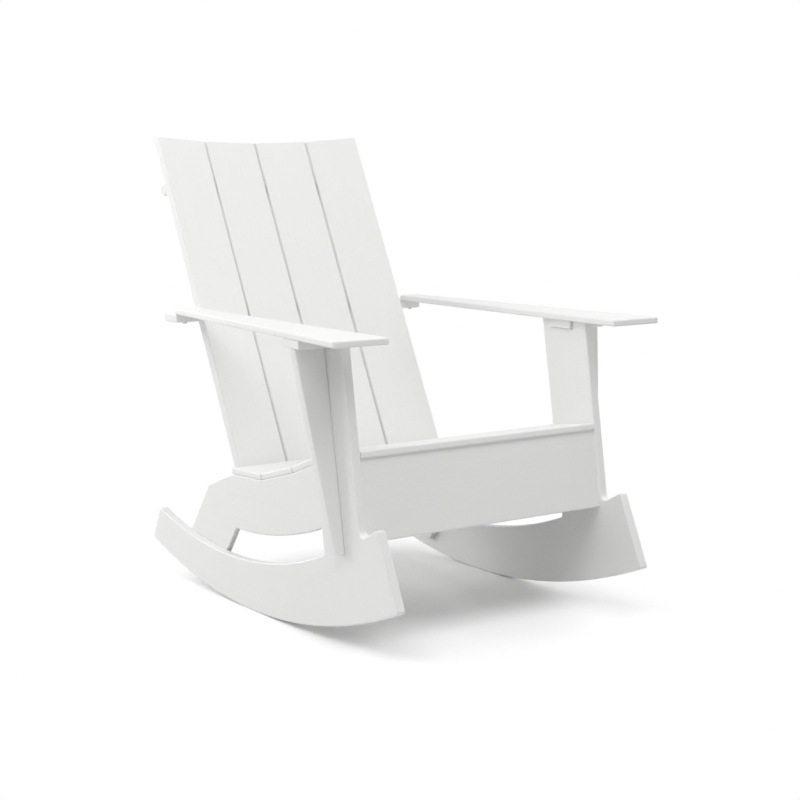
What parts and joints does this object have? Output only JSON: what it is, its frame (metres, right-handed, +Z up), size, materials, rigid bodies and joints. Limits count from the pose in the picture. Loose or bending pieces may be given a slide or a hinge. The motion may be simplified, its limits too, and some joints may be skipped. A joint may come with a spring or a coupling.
{
  "type": "rocking adirondack chair",
  "caption": "Low outdoor rocking chair of flat white boards, with a raked slatted back, wide flat arms, a sloping slatted seat and curved board rockers.",
  "frame": {"origin": "on the floor, midway between the two rockers, where the rockers touch the floor when the chair stands at rest", "axes": "+Z up, +X across the chair towards the arm on the right of the picture, the chair faces -Y; seen by a person in the seat, +X is the left arm"},
  "size_m": [0.767, 1.0031, 0.9417],
  "materials": {
    "white_board": "satin, very fine grain",
    "screw_steel": "plain stainless"
  },
  "bodies": {
    "root": {"side_frame_left": "white_board", "side_frame_right": "white_board", "stringer_left": "white_board", "stringer_right": "white_board", "wing_left": "white_board", "wing_right": "white_board", "arm_cleat_left": "white_board", "arm_cleat_right": "white_board", "arm_left": "white_board", "arm_right": "white_board", "seat_slat_1": "white_board", "seat_slat_2": "white_board", "seat_slat_3": "white_board", "front_seat_slat": "white_board", "front_apron": "white_board", "back_slat_1": "white_board", "back_slat_2": "white_board", "back_slat_3": "white_board", "back_slat_4": "white_board", "upper_back_brace": "white_board", "arm_back_brace": "white_board", "lower_back_rail": "white_board", "apron_screws": "screw_steel", "arm_screws": "screw_steel", "back_screws": "screw_steel", "cleat_screws": "screw_steel", "lower_rail_screws": "screw_steel", "seat_screws": "screw_steel", "stringer_screws": "screw_steel", "wing_screws": "screw_steel"}
  },
  "joints": []
}
